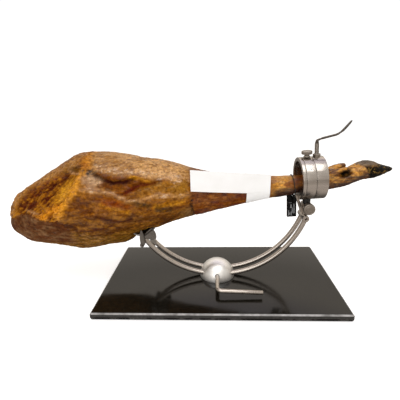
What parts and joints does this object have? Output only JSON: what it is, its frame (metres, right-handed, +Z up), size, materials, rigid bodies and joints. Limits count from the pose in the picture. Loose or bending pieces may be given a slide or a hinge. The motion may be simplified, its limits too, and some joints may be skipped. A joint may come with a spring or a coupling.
{
  "type": "cured ham on holder",
  "caption": "Whole cured leg of ham with its hoof, held level in a tilting steel holder with a hock ring and a polished stone base.",
  "frame": {"origin": "centre of the base slab's flat underside", "axes": "+Z up, +X from the thick end of the ham to the hoof, -Y towards the front, where the lever and label are"},
  "size_m": [0.786, 0.277, 0.3456],
  "materials": {
    "granite": "black granite, polished, with a fine light fleck and a bright bevel",
    "polished_steel": "mirror-polished stainless steel",
    "steel": "satin turned and bent stainless steel",
    "black_plastic": "black moulded bush",
    "cured_meat": "glossy golden-brown cured skin, fat and dried meat, with a black hoof",
    "white_card": "bare white card",
    "black_cord": "black cord",
    "black_card": "black card with a plain pale pattern"
  },
  "bodies": {
    "base": {"base_slab": "granite", "hub_dome": "polished_steel"},
    "lever": {"hub_lever": "steel"},
    "arc": {"rod_front": "steel", "rod_rear": "steel", "cradle_saddle": "steel", "cradle_cross_bar": "steel", "cradle_link": "steel", "cradle_front_wing": "steel", "cradle_rear_wing": "steel", "cradle_front_strap": "steel", "cradle_rear_strap": "steel", "end_bar": "steel", "ring_bracket": "steel", "swivel_bush": "black_plastic", "hock_rest": "steel", "ring_flange": "steel", "ring_collar": "steel", "ring_body": "steel", "ring_set_screw": "polished_steel", "screw_nut": "steel", "ham": "cured_meat", "label": "white_card", "tag_cord": "black_cord", "tag": "black_card"},
    "ring_screw": {"clamp_screw": "steel"},
    "ring_knob": {"ring_lock_knob": "steel"},
    "side_knob": {"pivot_knob": "steel"}
  },
  "joints": [
    {"name": "arc_tilt", "type": "hinge", "parent": "base", "child": "arc", "pos_m": [0.0005, 0, 0.2116], "axis": [0, 1, 0], "range_deg": [-10, 15]},
    {"name": "hub_lever_turn", "type": "hinge", "parent": "base", "child": "lever", "pos_m": [-0.003, -0.05, 0.03], "axis": [0, -1, 0], "range_deg": [0, 180]},
    {"name": "clamp_screw_turn", "type": "hinge", "parent": "arc", "child": "ring_screw", "pos_m": [0.19578, 0, 0.23572], "axis": [-0.061, 0, 0.9981], "continuous": true},
    {"name": "ring_knob_turn", "type": "hinge", "parent": "arc", "child": "ring_knob", "pos_m": [0.17701, 0, 0.23457], "axis": [-0.061, 0, 0.9981], "continuous": true},
    {"name": "side_knob_turn", "type": "hinge", "parent": "arc", "child": "side_knob", "pos_m": [0.18, -0.02, 0.177], "axis": [0, -1, 0], "continuous": true}
  ]
}
